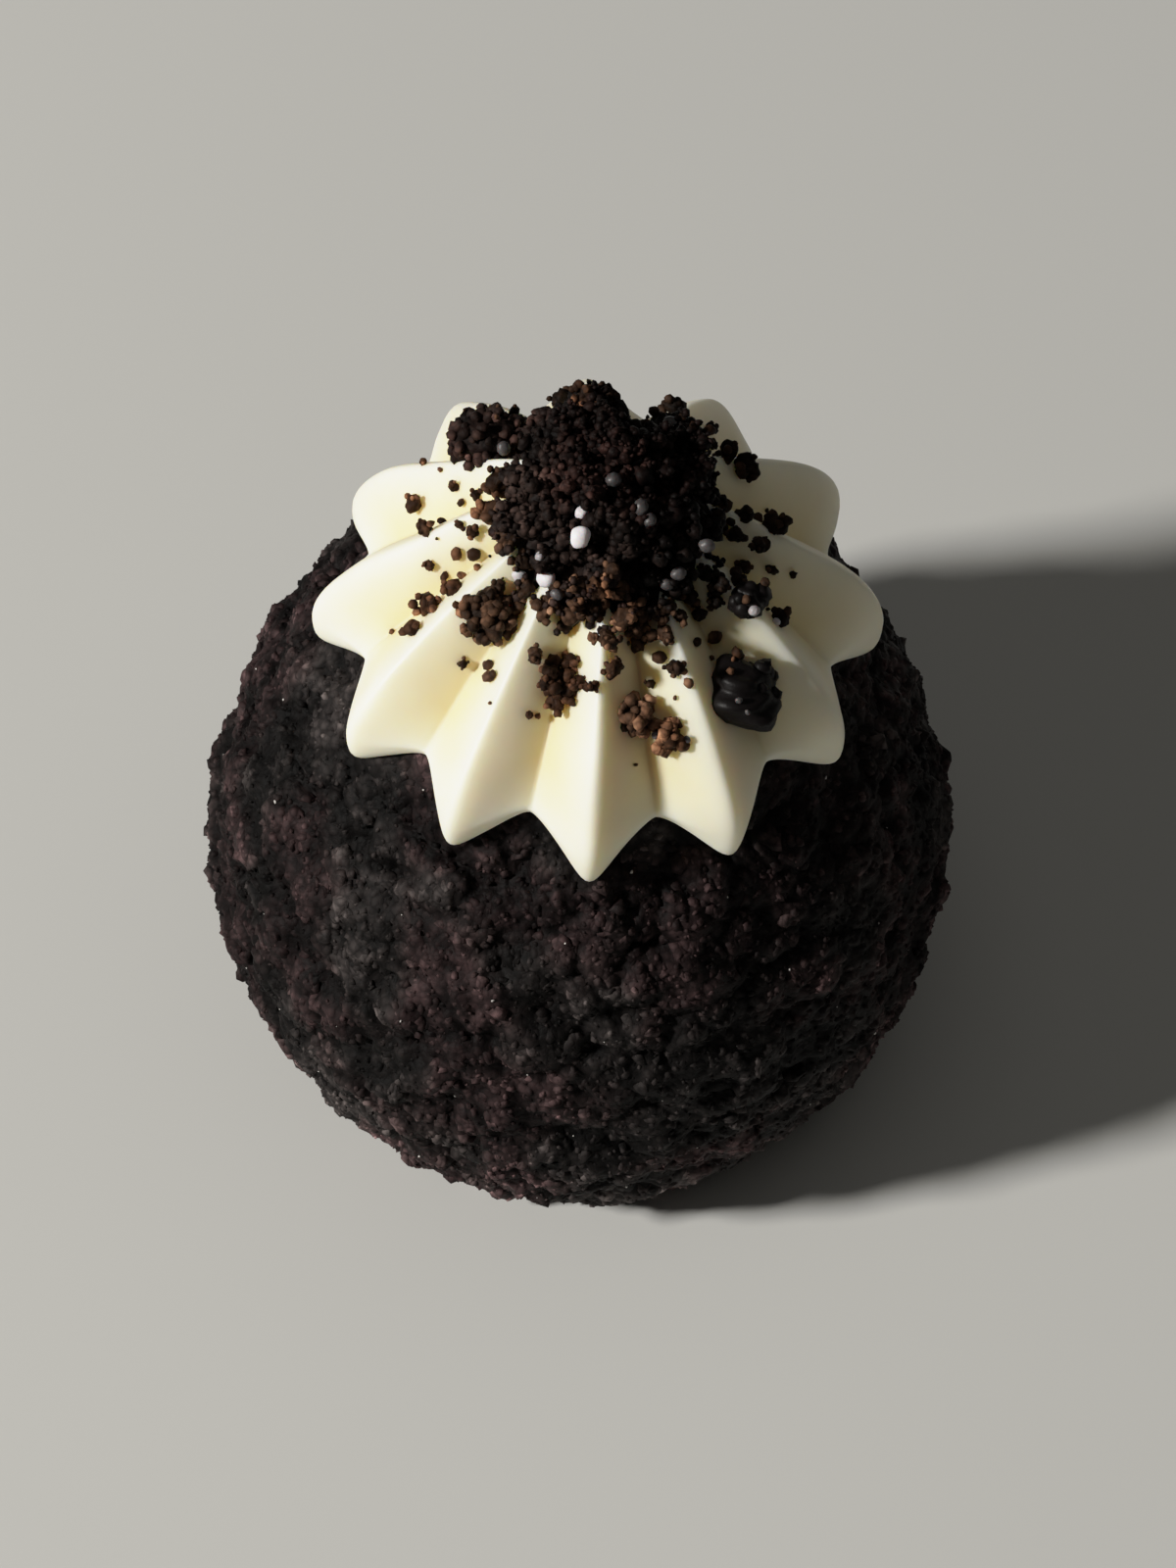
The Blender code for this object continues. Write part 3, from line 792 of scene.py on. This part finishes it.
def make_heap_core(material):
    columns = LOBES * HEAP_COLUMNS
    rings, painted_pit_shades, tones = [], [], []
    for ring in range(1, HEAP_RINGS):
        is_top = ring <= HEAP_RINGS // 2
        row = []
        for number in range(columns):
            column = number / HEAP_COLUMNS
            angle = star_column(column)[0]
            distance = HEAP_RADIUS * heap_lean(angle) * (1 - abs(2 * ring / HEAP_RINGS - 1))
            point = cream_top(column, cream_share(column, distance))
            pit, tone = packed_crumbs(point, CRUMB_LAYERS)
            lift = heap_cover(angle, distance) - HEAP_PITS * pit if is_top else -HEAP_SINK
            row.append(point + Vector((0, 0, lift)))
            painted_pit_shades.append(pit)
            tones.append(tone)
        rings.append(row)
    top = cream_top(0, 0) + Vector((0, 0, HEAP_RISE))
    points, faces = closed_rings(rings, top, cream_top(0, 0) - Vector((0, 0, HEAP_SINK)))
    painted_pit_shades += [LOOSE_PIT, LOOSE_PIT]
    tones += [0.5, 0.5]
    piece = add_piece("heap_core", points, faces, material, "crumb", pit=painted_pit_shades, tone=tones)
    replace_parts(piece, "crumb_heap")
    return as_batch(points, faces)


def in_gap(angle, distance):
    """Whether a place is in one of the gaps between the heap's large clumps, where few crumbs lie."""
    turn = math.degrees(angle) % 360
    return any(low < turn < high and near < distance < far for low, high, near, far in HEAP_GAPS)


def listed(crumbs):
    """The same crumbs with their angles in radians."""
    return [(math.radians(turn), *rest) for turn, *rest in crumbs]


def heap_spread():
    """(angle, distance, length, width) of the heap's smaller crumbs, each a golden angle on."""
    crumbs = []
    for number in range(HEAP_CRUMB_COUNT):
        length = rng.uniform(*HEAP_CRUMB_SIZES)
        width = length * rng.uniform(HEAP_CRUMB_FLATNESS, 1)
        angle = number * GOLDEN_ANGLE
        share = (number + 0.5) / HEAP_CRUMB_COUNT
        distance = HEAP_CRUMB_REACH * math.sqrt(share) * heap_lean(angle)
        if not in_gap(angle, distance):
            crumbs.append((angle, distance, length, width))
    return crumbs


def random_spread(count, limits, reach, power):
    """Crumbs at random round the star's axis, sparser outwards where power is over a half."""
    crumbs = []
    for _ in range(count):
        length = limits[0] + (limits[1] - limits[0]) * rng.uniform() ** 2
        distance = reach[0] + (reach[1] - reach[0]) * rng.uniform() ** power
        angle = rng.uniform(0, math.tau)
        width = length * rng.uniform(DROPPED_FLATNESS, 1)
        if not in_gap(angle, distance):
            crumbs.append((angle, distance * heap_lean(angle), length, width))
    return crumbs


def seats(crumbs, surface):
    """Centres and sizes of crumbs, each (angle, distance, length, width), resting on a surface."""
    centres, sizes = [], []
    for angle, distance, length, width in crumbs:
        centres.append(surface(angle, distance) + Vector((0, 0, length * (0.5 - CRUMB_SINK))))
        sizes.append((length, width, (length + width) / 2))
    return centres, sizes


def dropped(crumbs, tree, ball, *evenness):
    """A batch of crumbs that fell straight down onto what is there."""
    centres, sizes = [], []
    for angle, distance, length, width in crumbs:
        way = Vector((math.cos(angle) * STAR_STRETCH.x, math.sin(angle) * STAR_STRETCH.y))
        place = CREAM_CENTRE + way * distance
        hit, normal, _, _ = tree.ray_cast(Vector((*place, DROP_HEIGHT)), Vector((0, 0, -1)))
        if hit is not None:
            normal = normal if normal.z > 0 else -normal
            centres.append(hit + normal * (DROP_LIFT * length))
            sizes.append((length, width, (length + width) / 2))
    return lumpy_balls(centres, sizes, ball, *evenness)


def seen(places, tree, lift):
    """Centres and sizes of crumbs, each (right, up, size, ...), where lines of sight meet the cake.

    A crumb's centre is lifted off the surface by about the given share of its size.
    """
    view = bpy.context.scene.camera.rotation_euler.to_matrix()
    eye = bpy.context.scene.camera.location - CENTRING
    centres, sizes = [], []
    for right, up, size, *_ in places:
        sight = (view @ Vector((right, up, -CAMERA_DISTANCE))).normalized()
        hit, normal, _, _ = tree.ray_cast(eye, sight)
        normal = normal if normal.dot(sight) < 0 else -normal
        centres.append(hit + (normal - SEEN_FORWARD * sight) / 2 * (lift * size))
        sizes.append(tuple(share * size for share in SEEN_PROPORTIONS))
    return centres, sizes


def make_sugar(tree, material):
    points, faces, _ = lumpy_balls(*seen(SUGAR_GRAINS_AND_GLINTS, tree, SUGAR_LIFT), "finer", *SUGAR_EVENNESS)
    tones = np.repeat([brightness for *_, brightness in SUGAR_GRAINS_AND_GLINTS], len(BALLS["finer"][0]))
    add_piece("sugar_grains_and_glints", points, faces, material, "crumb", tone=tones)


def make_crumbs(star, cookie, loose_cookie, glossy, sugar_and_glint):
    """The heap on the peak, the loose crumbs on the ridges, and the grains among them."""
    core = make_heap_core(cookie)
    heap = coated(*seats(listed(HEAP_CLUMPS) + heap_spread(), heap_surface), *ON_HEAP_CLUMPS)
    below = tree_of([star, core] + heap)
    heap.append(dropped(random_spread(*HEAP_TOPPING), below, "fine", *EVEN))
    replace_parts(add_crumb_piece("heap_crumbs", heap, cookie), "crumb_heap")

    loose = coated(*seats(listed(CREAM_CLUMPS), cream_surface), *ON_CREAM_CLUMPS)
    loose += coated(*seats(listed(CREAM_CRUMBS), cream_surface), *ON_CREAM_CRUMBS)
    below = tree_of([star, core] + heap + loose)
    loose += coated(*seen(SEEN_CRUMBS, below, SEEN_LIFT), *ON_SEEN_CRUMBS)
    centres, sizes = seats(listed(GLOSSY_CRUMBS), cream_surface)
    shiny = [lumpy_balls(centres, sizes, "finest", *GLOSSY_EVENNESS)]
    shiny += coated(centres, np.array(sizes) * GLOSSY_CORE, *ON_GLOSSY_CRUMBS)
    below = tree_of([star, core] + heap + loose + shiny)
    loose.append(dropped(random_spread(*NEAR_CRUMBS), below, "fine", *EVEN))
    loose.append(dropped(random_spread(*FAR_CRUMBS), below, "middling"))
    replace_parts(add_crumb_piece("loose_crumbs", loose, loose_cookie), "cream")
    add_crumb_piece("glossy_crumbs", shiny, glossy)

    below = tree_of([star, core] + heap + loose)
    grains = [dropped(random_spread(*HEAP_GRAINS), below, "coarse")]
    add_crumb_piece("heap_grains", grains, cookie)
    make_sugar(tree_of([star, core] + heap + loose + shiny + grains), sugar_and_glint)


# ---- Materials ----

TEXTURE_ROUGHNESS = 0.55
GRAIN_SIZE = 0.0006
GRAIN_BEND = 0.6
HUE_PATCH_SIZE = 0.0095
HUE_PLACES = (0.44, 0.50, 0.56)
BROAD_SHADE_SIZE = 0.0060
FINE_SHADE_SIZE = 0.0022
# How the crumbs' brightness follows a number: (number, brightness)
BROAD_SHADES = ((0.38, 0.6), (0.62, 1.4))
FINE_SHADES = ((0.38, 0.6), (0.62, 1.42))
TONE_SHADES = ((0.0, 0.35), (0.2, 0.65), (0.6, 0.95), (1.0, 1.7))
GRAIN_SHADES = ((0.25, 0.8), (0.6, 1.0), (0.8, 1.4))
# Painted shade: darker towards a grain's edge, where it meets the next
PAINTED_GRAIN_EDGE_SHADE = ((0.3, 1.1), (0.7, 0.5))
# Painted shade: the deeper a point lies in a pit or between crumbs, the darker
PAINTED_PIT_SHADE = ((0.15, 1.0), (0.5, 0.12))
# From crest to valley: the valleys' yellower, darker colour is painted shade and warm bounce light
CREAM_HUES_AND_VALLEY_SHADE = ((0, (0.89, 0.85, 0.69)), (0.25, (0.87, 0.805, 0.59)), (0.85, (0.82, 0.71, 0.42)))
CREAM_MOTTLING = ((0.3, (0.96, 0.955, 0.94)), (0.7, (1, 1, 1)))


def new_material(name):
    material = bpy.data.materials.new(name)
    material.use_nodes = True
    return material, material.node_tree, material.node_tree.nodes["Principled BSDF"]


def set_inputs(tree, node, **inputs):
    """Each input gets a value or another node's output."""
    for label, value in inputs.items():
        socket = node.inputs[label.replace("_", " ")]
        if isinstance(value, bpy.types.NodeSocket):
            tree.links.new(value, socket)
        else:
            socket.default_value = value


def add_node(tree, kind, settings=None, **inputs):
    """A shader node with its settings and inputs."""
    made = tree.nodes.new(kind)
    for label, value in (settings or {}).items():
        setattr(made, label, value)
    set_inputs(tree, made, **inputs)
    return made


def object_place(tree):
    return add_node(tree, "ShaderNodeTexCoord").outputs["Object"]


def number_at(tree, label):
    """A number that the piece has at its points."""
    return add_node(tree, "ShaderNodeAttribute", {"attribute_name": label}).outputs["Fac"]


def texture(tree, feature_size, detail=3.0):
    """Noise with features of a size in metres, 0 to 1."""
    made = add_node(
        tree,
        "ShaderNodeTexNoise",
        Vector=object_place(tree),
        Scale=1 / feature_size,
        Detail=detail,
        Roughness=TEXTURE_ROUGHNESS,
    )
    return made.outputs["Fac"]


def ramp(tree, factor, stops):
    """Colours along a number: stops are (place, colour)."""
    made = add_node(tree, "ShaderNodeValToRGB", Fac=factor)
    elements = made.color_ramp.elements
    while len(elements) < len(stops):
        elements.new(0.5)
    for element, (place, colour) in zip(elements, stops):
        element.position = place
        element.color = (*colour, 1)
    return made.outputs["Color"]


def blend(tree, kind, share, first, second):
    settings = {"blend_type": kind}
    made = add_node(tree, "ShaderNodeMixRGB", settings, Fac=share, Color1=first, Color2=second)
    return made.outputs["Color"]


def between(tree, number, low, high):
    """A number from 0 to 1, stretched to lie from low to high."""
    made = add_node(tree, "ShaderNodeMapRange", Value=number, To_Min=low, To_Max=high)
    return made.outputs["Result"]


def bumps(tree, height, strength, distance, inverted=False):
    settings = {"invert": inverted}
    made = add_node(
        tree, "ShaderNodeBump", settings, Height=height, Strength=strength, Distance=distance
    )
    return made.outputs["Normal"]


def share_along(tree, way, start, end):
    """0 to 1, from start to end in metres along a way through the cake."""
    along = add_node(
        tree, "ShaderNodeVectorMath", {"operation": "DOT_PRODUCT"}, Vector=object_place(tree)
    )
    along.inputs[1].default_value = way
    place = along.outputs["Value"]
    share = add_node(tree, "ShaderNodeMapRange", Value=place, From_Min=start, From_Max=end)
    return share.outputs["Result"]


def packed_grains(tree, size):
    """(distance from a grain's middle, random number of each grain) of packed grains of a size."""
    place = object_place(tree)
    bend = add_node(tree, "ShaderNodeTexNoise", Vector=place, Scale=GRAIN_BEND / size, Detail=1.0)
    bent = add_node(tree, "ShaderNodeVectorMath", {"operation": "MULTIPLY_ADD"})
    tree.links.new(bend.outputs["Color"], bent.inputs[0])
    bent.inputs[1].default_value = (size, size, size)
    tree.links.new(place, bent.inputs[2])
    cells = add_node(tree, "ShaderNodeTexVoronoi", Vector=bent.outputs["Vector"], Scale=1 / size)
    return cells.outputs["Distance"], cells.outputs["Color"]


def shade_by(tree, number, colour, stops):
    """A colour times a brightness that follows a number: stops are (number, brightness)."""
    brightness = ramp(tree, number, [(place, (level,) * 3) for place, level in stops])
    return blend(tree, "MULTIPLY", 1.0, colour, brightness)


def crumb_material(name, hues, roughness, way, start, end, painted_shade_darkest):
    """Dark, crumbly and matte, in broad patches of reddish, brown and greyish, with painted shade in
    its pits and at its grains' edges.

    Along the given way it darkens from start to end, in metres, down to a given share of its
    brightness. This gradient is painted light and shade.
    """
    material, tree, shader = new_material(name)
    away, chance = packed_grains(tree, GRAIN_SIZE)
    hue_stops = tuple(zip(HUE_PLACES, hues))
    colour = ramp(tree, texture(tree, HUE_PATCH_SIZE, 1), hue_stops)
    colour = shade_by(tree, texture(tree, BROAD_SHADE_SIZE, 1), colour, BROAD_SHADES)
    colour = shade_by(tree, texture(tree, FINE_SHADE_SIZE, 1), colour, FINE_SHADES)
    colour = shade_by(tree, number_at(tree, "tone"), colour, TONE_SHADES)
    # Painted light and shade: a gradient along the given way
    colour = shade_by(tree, share_along(tree, way, start, end), colour, ((0, 1), (1, painted_shade_darkest)))
    colour = shade_by(tree, chance, colour, GRAIN_SHADES)
    # Painted shade at the grains' edges
    colour = shade_by(tree, away, colour, PAINTED_GRAIN_EDGE_SHADE)
    # Painted shade in the pits and between the crumbs
    colour = shade_by(tree, number_at(tree, "pit"), colour, PAINTED_PIT_SHADE)
    lumps = blend(tree, "MIX", 0.3, away, texture(tree, 0.00022))
    set_inputs(
        tree,
        shader,
        Base_Color=colour,
        Roughness=between(tree, texture(tree, 0.0012), *roughness),
        Normal=bumps(tree, lumps, 0.6, 0.00025, inverted=True),
        Specular_IOR_Level=0.08,
    )
    return material


def cream_material():
    """Warm white cream with a soft glow, and painted shade and warm bounce light down in the valleys,
    which make them yellower and darker.
    """
    material, tree, shader = new_material("cream")
    colour = ramp(tree, number_at(tree, "valley"), CREAM_HUES_AND_VALLEY_SHADE)
    mottled = ramp(tree, texture(tree, 0.004, 2), CREAM_MOTTLING)
    set_inputs(
        tree,
        shader,
        Base_Color=blend(tree, "MULTIPLY", 1.0, colour, mottled),
        Roughness=between(tree, texture(tree, 0.002), 0.42, 0.58),
        Normal=bumps(tree, texture(tree, 0.0009, 2), 0.12, 0.0001),
        Subsurface_Weight=0.7,
        Subsurface_Radius=(1.0, 0.8, 0.5),
        Subsurface_Scale=0.0023,
    )
    return material


def plain_grain_material(name, light, dark, roughness, glow=0.0, gloss=0.5):
    """Grains from dark to light by their tone."""
    material, tree, shader = new_material(name)
    set_inputs(
        tree,
        shader,
        Base_Color=ramp(tree, number_at(tree, "tone"), ((0, dark), (1, light))),
        Roughness=between(tree, texture(tree, 0.0006), *roughness),
        Normal=bumps(tree, texture(tree, 0.0003, 2), 0.3, 0.0001),
        Specular_IOR_Level=gloss,
        Subsurface_Weight=glow,
        Subsurface_Scale=0.0005,
    )
    return material


# ---- Floor and light ----

FLOOR_SIZE = 3.0
FLOOR_COLOUR = (0.59, 0.59, 0.57)
FLOOR_MOTTLING = 0.97
KEY_WAY = Vector((-0.785, -0.315, 0.58)).normalized()
KEY_DISTANCE = 1.5
KEY_SIZE = 0.18
KEY_POWER = 24.7
KEY_COLOUR = (1.0, 0.975, 0.93)
CEILING_PLACE = Vector((0.1, 0.1, 1.0))
CEILING_SIZE = 1.2
CEILING_POWER = 0.70
CEILING_COLOUR = (1.0, 0.98, 0.92)
FILL_STRENGTH = 0.025
FILL_COLOUR = (1.0, 0.97, 0.90, 1)

# Tones of the view: (scene light as a share of the white level, shown light)
VIEW_WHITE = 1.4
VIEW_TONES = (
    (0.0714, 0.125),
    (0.12, 0.213),
    (0.2143, 0.355),
    (0.407, 0.65),
    (0.536, 0.80),
    (0.679, 0.885),
    (1, 0.93),
)


def make_floor():
    shape = bmesh.new()
    bmesh.ops.create_grid(shape, x_segments=2, y_segments=2, size=FLOOR_SIZE / 2)
    mesh = bpy.data.meshes.new("floor")
    shape.to_mesh(mesh)
    shape.free()
    material, tree, shader = new_material("floor")
    darker = tuple(FLOOR_MOTTLING * level for level in FLOOR_COLOUR)
    tint = ramp(tree, texture(tree, 0.15, 2), ((0.3, darker), (0.7, FLOOR_COLOUR)))
    set_inputs(tree, shader, Base_Color=tint, Roughness=0.75)
    mesh.materials.append(material)
    floor = bpy.data.objects.new("floor", mesh)
    bpy.context.scene.collection.objects.link(floor)


def add_light(name, place, size, power, colour):
    """A round soft light that faces the cake."""
    data = bpy.data.lights.new(name, "AREA")
    data.shape = "DISK"
    data.size = size
    data.energy = power
    data.color = colour
    light = bpy.data.objects.new(name, data)
    light.location = place
    light.rotation_euler = place.to_track_quat("Z", "Y").to_euler()
    bpy.context.scene.collection.objects.link(light)


def make_light():
    add_light("key", KEY_WAY * KEY_DISTANCE, KEY_SIZE, KEY_POWER, KEY_COLOUR)
    add_light("ceiling", CEILING_PLACE, CEILING_SIZE, CEILING_POWER, CEILING_COLOUR)
    world = bpy.data.worlds.new("studio")
    world.use_nodes = True
    background = world.node_tree.nodes["Background"]
    background.inputs["Color"].default_value = FILL_COLOUR
    background.inputs["Strength"].default_value = FILL_STRENGTH
    bpy.context.scene.world = world


def set_view():
    """A camera's tones: brighter middle tones, and highlights that come gently to white."""
    view = bpy.context.scene.view_settings
    view.view_transform = "Standard"
    view.use_curve_mapping = True
    mapping = view.curve_mapping
    mapping.white_level = (VIEW_WHITE, VIEW_WHITE, VIEW_WHITE)
    curve = mapping.curves[3]
    curve.points[1].location = VIEW_TONES[-1]
    for tone in VIEW_TONES[:-1]:
        curve.points.new(*tone)
    mapping.update()


# ---- Everything ----

aim_camera()
# Painted light: brightest at the foot, as if lit from the floor, and darker upwards to about a third
# by 12 mm up
cake = crumb_material(
    "cake_crumb",
    hues=((0.142, 0.086, 0.0870), (0.130, 0.090, 0.0875), (0.113, 0.095, 0.0915)),
    roughness=(0.5, 0.8),
    way=(-0.1, 0.25, 1),
    start=0.001,
    end=0.012,
    painted_shade_darkest=0.34,
)
# Painted shade: darker towards the right and back, away from the key light
cookie = crumb_material(
    "cookie_crumb",
    hues=((0.044, 0.0202, 0.0168), (0.036, 0.0185, 0.0150), (0.027, 0.0165, 0.0136)),
    roughness=(0.5, 0.75),
    way=(1, 0.6, 0),
    start=-0.003,
    end=0.003,
    painted_shade_darkest=0.25,
)
# Painted shade: darker towards the right and back, in the heap's shade
loose_cookie = crumb_material(
    "loose_cookie_crumb",
    hues=((0.208, 0.094, 0.050), (0.180, 0.085, 0.046), (0.135, 0.071, 0.042)),
    roughness=(0.5, 0.75),
    way=(1, 1, 0),
    start=-0.006,
    end=0.006,
    painted_shade_darkest=0.28,
)
glossy = plain_grain_material(
    "glossy_crumb", (0.006, 0.0045, 0.0045), (0.003, 0.0025, 0.0025), (0.35, 0.6), gloss=0.12
)
# Its dark end is painted shade on the grains that lie in the heap's shade
sugar_and_glint = plain_grain_material("sugar_and_glint", (0.82, 0.79, 0.82), (0.035, 0.03, 0.03), (0.35, 0.6), glow=0.3)
# Pale specks of sugar, which also stand in for glints on the cake: painted highlights
speck_and_glint = plain_grain_material("speck_and_glint", (0.75, 0.72, 0.68), (0.30, 0.28, 0.27), (0.3, 0.6))
make_crumbs(make_cream(cream_material()), cookie, loose_cookie, glossy, sugar_and_glint)
make_body(cake)
make_coat(cake, speck_and_glint)
make_floor()
make_light()
set_view()
